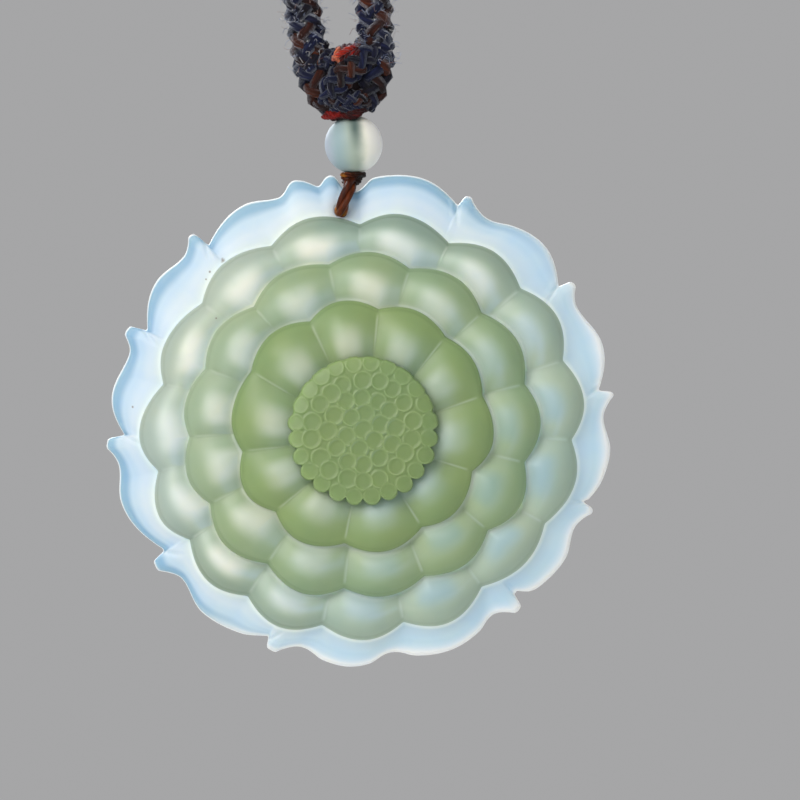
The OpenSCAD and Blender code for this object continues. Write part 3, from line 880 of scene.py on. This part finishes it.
def tuft_threads():
    """Red threads that pass over the knot between the two sides of the cord."""
    rng = random.Random(SEED + 1)
    top = knot_high.z
    parts = []
    for i in range(5):
        x = -0.4 + 0.5 * i
        skew = rng.uniform(-0.25, 0.3)
        marks = [
            (x - 0.2 + skew, -2.35, top - 1.6), (x - 0.25, -2.7 + rng.uniform(-0.1, 0.1), top - 1.1),
            (x, -2.1, top - 0.5 + rng.uniform(-0.1, 0.1)),
            (x + 0.15, 0, top - 0.2 + rng.uniform(-0.15, 0.15)),
            (x + 0.2, 1.9, top - 0.4), (x + 0.2, 2.6, top - 1.5),
        ]
        # Painted highlight: the first thread, on the left, is the brightest
        shade = 1.0 if i == 0 else rng.uniform(0, 0.6)
        parts.append(twisted(smooth_path(marks, 60), 0.36, 3, 1.7, 6, shade, (1, 0, 0), steps=9))
    across = [
        (-1.0, -2.2, top - 1.3), (-0.4, -2.9, top - 0.95), (0.5, -2.9, top - 0.55), (1.2, -2.2, top - 0.35),
    ]
    # Painted highlight: the thread across is salmon at its left end, red at its right
    shade = np.linspace(1.0, 0.5, 40)
    parts.append(twisted(smooth_path(across, 40), 0.36, 3, 1.7, 6, shade, (0, -1, 0), steps=9))
    return make_joined("tuft_threads", parts)


# How far from the knot the fuzz is thickest
FUZZ_NEAR = 34


def cord_fuzz():
    """Loose fibres that stand off the braid, thickest near the knot."""
    rng = np.random.default_rng(SEED)
    path, out = loop_path()
    run = distances_along(path)
    length = run[-1]
    near = [rng.uniform(0, FUZZ_NEAR, 640), length - rng.uniform(0, FUZZ_NEAR, 640)]
    spots = np.concatenate([*near, rng.uniform(FUZZ_NEAR, length - FUZZ_NEAR, 1500)])
    centres = sampled(path, run, spots)
    sides = unit(sampled(out, run, spots))
    parts = []
    for centre, side in zip(centres, sides):
        ahead = np.cross(side, (0, 1, 0))
        angle = rng.uniform(0, 2 * math.pi)
        outward = side * math.cos(angle) + np.array([0, 1, 0]) * math.sin(angle)
        around = np.cross(ahead, outward)
        reach = rng.uniform(0.25, 0.85)
        drift = ahead * rng.normal(0, 0.5) + around * rng.normal(0, 0.5)
        start = centre + outward * CORD_R * 0.86
        steps = np.linspace(0, 1, 5)[:, None]
        curl = (ahead * rng.normal(0, 0.3) + around * rng.normal(0, 0.3)) * np.sin(steps * math.pi)
        line = start + (outward * reach + drift * reach) * steps + curl * reach
        parts.append(tube(line, 0.022, around, 3, rng.uniform(0, 1)))
    return make_joined("cord_fuzz", parts)


# Materials


class Nodes:
    """A short way to write a node tree."""

    def __init__(self, name):
        self.material = bpy.data.materials.new(name)
        self.material.use_nodes = True
        self.tree = self.material.node_tree
        self.tree.nodes.clear()
        self.output = self.tree.nodes.new("ShaderNodeOutputMaterial")
        self.shader = self.tree.nodes.new("ShaderNodeBsdfPrincipled")
        self.tree.links.new(self.shader.outputs[0], self.output.inputs["Surface"])

    def put(self, target, value):
        if isinstance(value, bpy.types.NodeSocket):
            self.tree.links.new(value, target)
        else:
            target.default_value = value

    def node(self, kind, inputs=None, **settings):
        made = self.tree.nodes.new(kind)
        for key, value in settings.items():
            setattr(made, key, value)
        for key, value in (inputs or {}).items():
            self.put(made.inputs[key], value)
        return made

    def attribute(self, name):
        return self.node("ShaderNodeAttribute", attribute_name=name).outputs["Fac"]

    def position(self):
        return self.node("ShaderNodeTexCoord").outputs["Object"]

    def math(self, operation, a, b=0.0, c=0.0, clamp=False):
        return self.node(
            "ShaderNodeMath", {0: a, 1: b, 2: c}, operation=operation, use_clamp=clamp
        ).outputs[0]

    def times(self, a, b, clamp=False):
        return self.math("MULTIPLY", a, b, clamp=clamp)

    def vector(self, operation, a, b=None, output="Vector"):
        inputs = {0: a} if b is None else {0: a, 1: b}
        return self.node("ShaderNodeVectorMath", inputs, operation=operation).outputs[output]

    def noise(self, scale, detail=3.0, roughness=0.55, vector=None, distortion=0.0):
        inputs = {"Scale": scale, "Detail": detail, "Roughness": roughness, "Distortion": distortion}
        inputs["Vector"] = vector if vector is not None else self.position()
        return self.node("ShaderNodeTexNoise", inputs).outputs["Fac"]

    def ramp(self, factor, stops, smooth=True):
        made = self.node("ShaderNodeValToRGB", {"Fac": factor})
        elements = made.color_ramp.elements
        while len(elements) < len(stops):
            elements.new(0.5)
        for element, (place, colour) in zip(elements, stops):
            element.position = place
            element.color = (*linear(colour), 1)
        made.color_ramp.interpolation = "EASE" if smooth else "LINEAR"
        return made.outputs["Color"]

    def mix(self, factor, a, b, blend="MIX"):
        made = self.node("ShaderNodeMix", data_type="RGBA", blend_type=blend)
        self.put(made.inputs["Factor"], factor)
        self.put(made.inputs[6], a)
        self.put(made.inputs[7], b)
        return made.outputs[2]

    def map_range(self, value, low, high, to_low=0.0, to_high=1.0, smooth=False):
        made = self.node(
            "ShaderNodeMapRange",
            {"Value": value, "From Min": low, "From Max": high, "To Min": to_low, "To Max": to_high},
            interpolation_type="SMOOTHSTEP" if smooth else "LINEAR",
        )
        return made.outputs[0]

    def soft(self, *span):
        return self.map_range(*span, smooth=True)

    def toward(self, way):
        """How far the surface lies along a direction, and how far the disc's middle does."""
        return self.vector("DOT_PRODUCT", self.position(), way, "Value"), way.dot(disc_centre * MM)

    def by_row(self, place, *colours):
        """Colours from the rim over the three rows of petals to the pod."""
        stops = [(i / 4, colour) for i, colour in enumerate([RIM_GROUND, *colours])]
        return self.ramp(place, stops, smooth=False)

    def bump(self, height, strength, distance):
        made = self.node("ShaderNodeBump", {"Height": height, "Strength": strength, "Distance": distance})
        return made.outputs["Normal"]

    def finish(self, **inputs):
        for key, value in inputs.items():
            self.put(self.shader.inputs[key.replace("_", " ")], value)
        return self.material


def linear(colour):
    """A display colour from 0 to 255 as the linear numbers that Blender takes."""
    return tuple(
        (c / 255 / 12.92) if c / 255 <= 0.04045 else ((c / 255 + 0.055) / 1.055) ** 2.4 for c in colour
    )


def opaque(colour):
    return (*linear(colour), 1)


# The first colour of the petals' ramps, which lies under the rim's own
RIM_GROUND = (200, 220, 232)
# Painted light and shade: the carving's colours turn cooler toward this side, the side away from the key
# light
AWAY_FROM_KEY_WAY = Vector((0.78, 0, -0.62))
# Painted light: the outer rows are painted paler toward this side, the side the light comes from
SUNWARD = Vector((-0.92, 0, 0.4))
# Painted light: on this side the rim's edge is painted whiter, and the feet of the inner petals are painted
# pale over the shade that the rows and the pod cast there
PAINTED_LIFT_WAY = Vector((0.57, 0, -0.82))
# Painted light: slopes that face this way, away from the key light, take a lilac tint of cool light
COOL_LIGHT_WAY = (0.64, -0.42, -0.64)
# Small brown flecks in the stone: millimetres right of and below the disc's middle, and size
FLAWS = [
    [-12.2, -17.6, 0.28], [-13.6, -16.6, 0.12], [-14.1, -15.9, 0.1],
    [-13.4, -11.9, 0.12], [-22.6, -3.9, 0.14],
]


def jade_carving():
    """Translucent jade: icy where it is thin, green where it is thick, with a painted milky highlight on
    each petal's swell and painted light and shade that change across the carving.
    """
    n = Nodes("carved_jade")
    tier = n.attribute("tier")
    inward, full, line = n.attribute("inward"), n.attribute("full"), n.attribute("line")
    place = n.math("DIVIDE", tier, 4.0)
    clouds = n.noise(150.0, 4.0)
    # Painted light and shade: 0 on the key light's side, 1 on the far side, where crescents, swells, walls,
    # glows and rim take painted colours
    drift, middle = n.toward(AWAY_FROM_KEY_WAY)
    drift = n.map_range(drift, middle - RIM_R * MM, middle + RIM_R * MM)
    away_from_key = n.soft(drift, 0.35, 0.85)
    sunward, middle = n.toward(SUNWARD)
    bright = n.soft(sunward, middle + 8 * MM, middle + 18 * MM, 0.0, 0.24)
    lowward, middle = n.toward(PAINTED_LIFT_WAY)
    painted_lift = n.soft(lowward, middle + 2 * MM, middle + 9 * MM)
    deep = n.by_row(place, (154, 174, 158), (152, 174, 136), (141, 165, 111), (137, 161, 104))
    # Colours named _cool are painted for the side away from the key light
    deep_cool = n.by_row(place, (176, 196, 180), (155, 179, 138), (146, 170, 115), (127, 152, 98))
    deep = n.mix(away_from_key, deep, deep_cool)
    middling = n.by_row(place, (182, 200, 184), (168, 188, 156), (154, 176, 130), (133, 157, 101))
    milky = n.by_row(place, (233, 237, 232), (214, 222, 208), (194, 205, 186), (135, 159, 102))
    milky_cool = n.by_row(place, (165, 193, 201), (147, 177, 168), (153, 178, 156), (126, 151, 96))
    milky = n.mix(away_from_key, milky, milky_cool)
    # Darker green toward each petal's outer edge: partly the stone's depth, partly painted shade where the
    # swell turns away
    near = n.soft(inward, 0.1, 0.5)
    # Painted highlight: a milky spot on each petal's swell, toward its inner side
    painted_highlight = n.soft(inward, 0.22, 0.62)
    painted_highlight = n.times(painted_highlight, n.soft(full, 0.45, 1.0))
    painted_highlight = n.times(painted_highlight, n.soft(inward, 0.66, 0.98, 1.0, 0.7))
    painted_highlight = n.times(painted_highlight, n.map_range(clouds, 0.25, 0.75, 0.82, 1.05), clamp=True)
    petals = n.mix(near, deep, middling)
    petals = n.mix(painted_highlight, petals, milky)
    # Painted light: a lilac tint of cool light on the swells' slopes that face away from the key light
    facing = n.node("ShaderNodeTexCoord").outputs["Normal"]
    facing = n.vector("DOT_PRODUCT", facing, COOL_LIGHT_WAY, "Value")
    painted_cool_light = n.soft(facing, 0.5, 0.8)
    painted_cool_light = n.times(painted_cool_light, n.map_range(tier, 1.0, 3.0, 0.6, 0.2))
    painted_cool_light = n.times(painted_cool_light, n.soft(inward, 0.35, 0.6))
    petals = n.mix(painted_cool_light, petals, n.mix(0.5, petals, opaque((206, 226, 252))))
    # Painted light: pale feet of the petals on the lower side, over the shade of the next row and the pod
    foot = n.soft(inward, 0.45, 0.8)
    by_pod = n.math("ABSOLUTE", n.math("SUBTRACT", tier, 3.0))
    foot = n.times(foot, n.map_range(by_pod, 0.2, 0.5, 0.5, 0.0))
    petals = n.mix(n.times(foot, painted_lift), petals, opaque((194, 216, 222)))
    # Painted shade: the lip walls are darkened, less on the side away from the key light
    wall = n.times(n.attribute("wall"), n.map_range(away_from_key, 0.0, 1.0, 0.55, 0.2))
    petals = n.mix(wall, petals, n.mix(0.3, deep, opaque((70, 96, 60))))
    # The colour of the painted glow on the seams and at the rows' feet
    pale = n.mix(0.55, milky, opaque((230, 240, 230)))
    # Painted light: the outer rows paler toward the lit side
    bright = n.times(bright, n.map_range(tier, 1.4, 2.8, 1.0, 0.0))
    petals = n.mix(bright, petals, opaque((244, 248, 244)))
    # Painted glow: a pale line along the seams between petals, stronger away from the key light
    seam = n.times(n.attribute("seam"), n.map_range(drift, 0.2, 0.8, 0.15, 0.45))
    petals = n.mix(seam, petals, pale)
    # Painted glow: a pale band at the foot of each row, stronger away from the key light
    glow = n.times(n.attribute("glow"), n.map_range(away_from_key, 0.0, 1.0, 0.45, 1.0))
    petals = n.mix(glow, petals, n.mix(0.5, pale, opaque((242, 248, 242))))
    petals = n.mix(n.times(line, 0.3), petals, opaque((160, 180, 130)))
    rim = n.ramp(inward, [
        (0.0, (190, 212, 230)), (0.05, (138, 173, 199)), (0.16, (144, 179, 206)), (0.38, (196, 215, 233)),
        (0.7, (213, 225, 237)), (1.0, (222, 232, 235)),
    ])
    rim_cool = n.ramp(inward, [
        (0.0, (246, 249, 250)), (0.07, (230, 239, 246)), (0.17, (209, 225, 240)), (0.45, (197, 219, 234)),
        (0.85, (200, 219, 233)), (1.0, (217, 230, 238)),
    ])
    rim = n.mix(away_from_key, rim, rim_cool)
    # Painted light on the rim: a whiter outer band on the lower side, a whiter edge line, a glow at the
    # outer row's foot and paler creases
    edge = n.times(painted_lift, n.soft(inward, 0.04, 0.3, 0.55, 0.0))
    rim = n.mix(edge, rim, opaque((250, 252, 253)))
    rim = n.mix(line, rim, opaque((240, 246, 249)))
    rim = n.mix(n.attribute("glow"), rim, opaque((238, 247, 249)))
    rim = n.mix(n.times(n.attribute("crease"), 0.5), rim, opaque((240, 246, 250)))
    base = n.mix(n.map_range(tier, 0.25, 0.75), rim, petals)
    tint = n.ramp(clouds, [(0.3, (240, 246, 250)), (0.7, (255, 253, 246))])
    base = n.mix(0.8, base, tint, "MULTIPLY")
    for across, down, size in FLAWS:
        flat = n.vector("MULTIPLY", n.position(), (1, 0, 1))
        spot = Vector((disc_centre.x + across, 0, disc_centre.z - down)) * MM
        away = n.vector("DISTANCE", flat, spot, "Value")
        away = n.math("ADD", away, n.map_range(n.noise(2200.0), 0.3, 0.7, -0.5 * size * MM, 0.5 * size * MM))
        fleck = n.map_range(away, 0.3 * size * MM, size * MM, 0.7, 0.0)
        base = n.mix(fleck, base, opaque((112, 92, 78)))
    rough = n.map_range(n.noise(620.0), 0.3, 0.7, 0.4, 0.52)
    normal = n.bump(n.noise(2600.0, 2.0), 0.12, 0.00002)
    material = n.finish(
        Base_Color=base, Roughness=rough, Normal=normal, Subsurface_Weight=0.85,
        Subsurface_Radius=(1.0, 0.97, 0.85), Subsurface_Scale=0.0027, IOR=1.5,
    )
    n.shader.subsurface_method = "RANDOM_WALK"
    return material


def jade_ball():
    """The bead's jade, with painted light: bluer on its left and creamier and brighter on its right, and a
    painted shade of the bore down from its top.
    """
    n = Nodes("bead_jade")
    sideways = n.node("ShaderNodeSeparateXYZ", {"Vector": n.position()}).outputs
    middle, edge = bead_centre.x * MM, bead_r * MM
    # Painted light: the colour runs from a bluer left to a brighter cream right
    place = n.map_range(sideways["X"], middle - edge, middle + edge)
    place = n.math("ADD", n.times(place, 0.8), n.times(n.noise(260.0, 4.0), 0.2))
    base = n.ramp(place, [
        (0.1, (176, 188, 202)), (0.28, (156, 179, 184)), (0.52, (174, 188, 176)),
        (0.7, (250, 249, 236)), (0.9, (252, 252, 244)),
    ])
    # Painted shade: a dark band where the bore lies, strongest at the top
    away = n.math("ABSOLUTE", n.math("SUBTRACT", sideways["X"], middle + 0.3 * MM))
    shade = n.soft(away, 0.0, 1.0 * MM, 0.85, 0.0)
    centre = bead_centre.z * MM
    upward = n.map_range(sideways["Z"], centre - edge * 0.3, centre + edge * 0.5, 0.1, 1.0)
    shade = n.times(shade, upward)
    base = n.mix(shade, base, opaque((72, 98, 96)))
    return n.finish(
        Base_Color=base, Roughness=n.map_range(n.noise(700.0), 0.3, 0.7, 0.52, 0.64),
        Normal=n.bump(n.noise(2600.0, 2.0), 0.15, 0.00002), Subsurface_Weight=0.95,
        Subsurface_Radius=(1.0, 0.97, 0.9), Subsurface_Scale=0.0014, IOR=1.45,
    )


def thread(name, stops, roughness, sheen, grooves, twist, depth):
    """Spun thread: grooves that wind round each strand, with painted shade in them, and its colour from the
    strand's shade.
    """
    n = Nodes(name)
    shade, along, around = n.attribute("shade"), n.attribute("along"), n.attribute("around")
    mottle = n.noise(700.0, 3.0)
    place = n.math("ADD", n.times(mottle, 0.3), n.times(shade, 0.85))
    base = n.ramp(place, stops)
    wound = n.math("ADD", n.times(along, twist), around)
    groove = n.math("SINE", n.times(wound, grooves))
    lengthwise = n.node("ShaderNodeCombineXYZ", {
        "X": n.math("SINE", wound), "Y": n.math("COSINE", wound), "Z": n.times(along, 0.35),
    }).outputs[0]
    fibres = n.noise(7.0, 3.0, 0.6, vector=lengthwise)
    height = n.math("ADD", n.times(groove, 0.5), n.times(fibres, 1.6))
    # Painted shade and light: darker in the grooves and between fibres, lighter on their crests
    dark = n.map_range(height, 0.2, 1.5, 0.5, 1.25)
    dark = n.node("ShaderNodeCombineXYZ", {0: dark, 1: dark, 2: dark}).outputs[0]
    base = n.mix(1.0, base, dark, "MULTIPLY")
    return n.finish(
        Base_Color=base, Roughness=n.map_range(mottle, 0.3, 0.7, roughness - 0.06, roughness + 0.06),
        Normal=n.bump(height, 0.8, depth), Sheen_Weight=sheen, Sheen_Roughness=0.25,
        Sheen_Tint=(0.82, 0.88, 1, 1), Specular_IOR_Level=0.2,
    )


CORD_STOPS = [
    (0.1, (16, 20, 44)), (0.35, (24, 30, 62)), (0.55, (20, 15, 19)), (0.8, (52, 22, 16)),
    (1.0, (74, 34, 20)),
]
WAX_STOPS = [
    (0.15, (20, 8, 2)), (0.35, (38, 14, 2)), (0.5, (74, 26, 2)), (0.6, (100, 42, 2)), (0.76, (178, 112, 22)),
    (1.0, (132, 74, 14)),
]
RED_STOPS = [
    (0.1, (34, 5, 6)), (0.35, (78, 10, 9)), (0.6, (140, 20, 12)), (0.85, (190, 50, 30)),
    (1.0, (222, 124, 88)),
]
# The loose fibres' pale colours: partly their own, partly painted light for the light they catch
FUZZ_STOPS = [(0.1, (96, 110, 150)), (0.45, (170, 182, 212)), (0.8, (226, 224, 220)), (1.0, (140, 84, 64))]


def dress(piece, material, body, slot, *nodes):
    piece.data.materials.clear()
    piece.data.materials.append(material)
    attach(piece, body)
    if nodes:
        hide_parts(*nodes)


# Studio

VIEW_WIDTH = 80.0
CAMERA_DISTANCE = 900.0
ROLL = 5.5
IMAGE_MIDDLE = Vector((2.36, 0, -343.98))
FLOOR_DROP = 60.0
FLOOR_R = 600.0
FLOOR_SIDES = 96


def add_camera():
    """Straight on to the front, rolled as the photograph is."""
    data = bpy.data.cameras.new("camera")
    data.lens = data.sensor_width * CAMERA_DISTANCE / VIEW_WIDTH
    data.clip_start, data.clip_end = 0.01, 20
    camera = bpy.data.objects.new("camera", data)
    bpy.context.scene.collection.objects.link(camera)
    roll = math.radians(ROLL)
    right = Vector((math.cos(roll), 0, -math.sin(roll)))
    up = Vector((math.sin(roll), 0, math.cos(roll)))
    back = Vector((0, -1, 0))
    turn = Matrix((right, up, back)).transposed().to_4x4()
    place = (IMAGE_MIDDLE + back * CAMERA_DISTANCE) * MM
    camera.matrix_world = Matrix.Translation(place) @ turn
    bpy.context.scene.camera = camera


def add_light(name, place, size, watts, colour):
    """A soft square light that looks at the medallion."""
    data = bpy.data.lights.new(name, "AREA")
    data.size, data.energy, data.color = size * MM, watts, colour
    light = bpy.data.objects.new(name, data)
    bpy.context.scene.collection.objects.link(light)
    target = Vector((0, 0, disc_centre.z)) * MM
    light.location = Vector(place) * MM + target
    light.rotation_mode = "QUATERNION"
    light.rotation_quaternion = (light.location - target).to_track_quat("Z", "Y")
    light.visible_camera = False


def add_world():
    world = bpy.data.worlds.new("studio")
    world.use_nodes = True
    background = world.node_tree.nodes["Background"]
    background.inputs["Color"].default_value = (0.38, 0.38, 0.385, 1)
    background.inputs["Strength"].default_value = 1.0
    bpy.context.scene.world = world
    bpy.context.scene.view_settings.view_transform = "Standard"


def add_floor():
    """A pale round floor under the pendant that fades out at its edge."""
    turn = np.arange(FLOOR_SIDES) * 2 * math.pi / FLOOR_SIDES
    height = disc_low.z - FLOOR_DROP
    points = [(0, 0, height)]
    for share in (0.3, 0.65, 1):
        points += [(FLOOR_R * share * math.cos(t), FLOOR_R * share * math.sin(t), height) for t in turn]
    faces = []
    for k in range(FLOOR_SIDES):
        nxt = (k + 1) % FLOOR_SIDES
        faces.append([0, 1 + k, 1 + nxt])
        for a in (1, 1 + FLOOR_SIDES):
            faces.append([a + k, a + FLOOR_SIDES + k, a + FLOOR_SIDES + nxt, a + nxt])
    floor = make_object("studio_floor", np.array(points), faces)
    n = Nodes("studio_floor")
    middle = n.vector("MULTIPLY", n.position(), (1, 1, 0))
    reach = n.vector("LENGTH", middle, output="Value")
    fade = n.soft(reach, 0.2, FLOOR_R * MM * 0.98, 1.0, 0.0)
    floor.data.materials.append(n.finish(Base_Color=opaque((214, 214, 212)), Roughness=0.8, Alpha=fade))


add_camera()
add_world()
add_floor()
add_light("key", (-300, -530, 360), 460, 3.6, (1.0, 0.965, 0.92))
add_light("fill", (420, -450, -350), 460, 4.4, (0.9, 0.95, 1.0))
add_light("back", (-180, 600, 360), 420, 4.5, (0.9, 0.96, 1.0))

braided_yarn = thread("braided_yarn", CORD_STOPS, 0.75, 0.9, 6.0, 0.9, 0.00009)
cord_fibres = thread("cord_fibres", FUZZ_STOPS, 0.7, 0.5, 2.0, 1.0, 0.00001)
knot_yarn = thread("knot_yarn", CORD_STOPS, 0.75, 0.4, 6.0, 0.9, 0.00009)
tuft_yarn = thread("tuft_yarn", RED_STOPS, 0.5, 0.4, 3.0, 2.0, 0.00004)
binding_yarn = thread("binding_yarn", RED_STOPS, 0.55, 0.1, 3.0, 2.0, 0.00004)
waxed_yarn = thread("waxed_yarn", WAX_STOPS, 0.42, 0.0, 3.0, 2.0, 0.00003)

dress(neck_braid(), braided_yarn, "necklace", "braided_cord", "neck_cord")
dress(cord_fuzz(), cord_fibres, "necklace", "braided_cord")
dress(worked_knot(), knot_yarn, "necklace", "knot_cord", "knot")
dress(tuft_threads(), tuft_yarn, "necklace", "red_thread", "red_tuft")
dress(binding_threads(), binding_yarn, "necklace", "red_thread", "red_binding")
dress(hanging_threads(), waxed_yarn, "necklace", "brown_thread", "hanging_thread")
dress(drilled_bead(), jade_ball(), "necklace", "jade_ball", "jade_bead")
dress(carved_medallion(), jade_carving(), "medallion", "jade_disc", "jade_medallion")
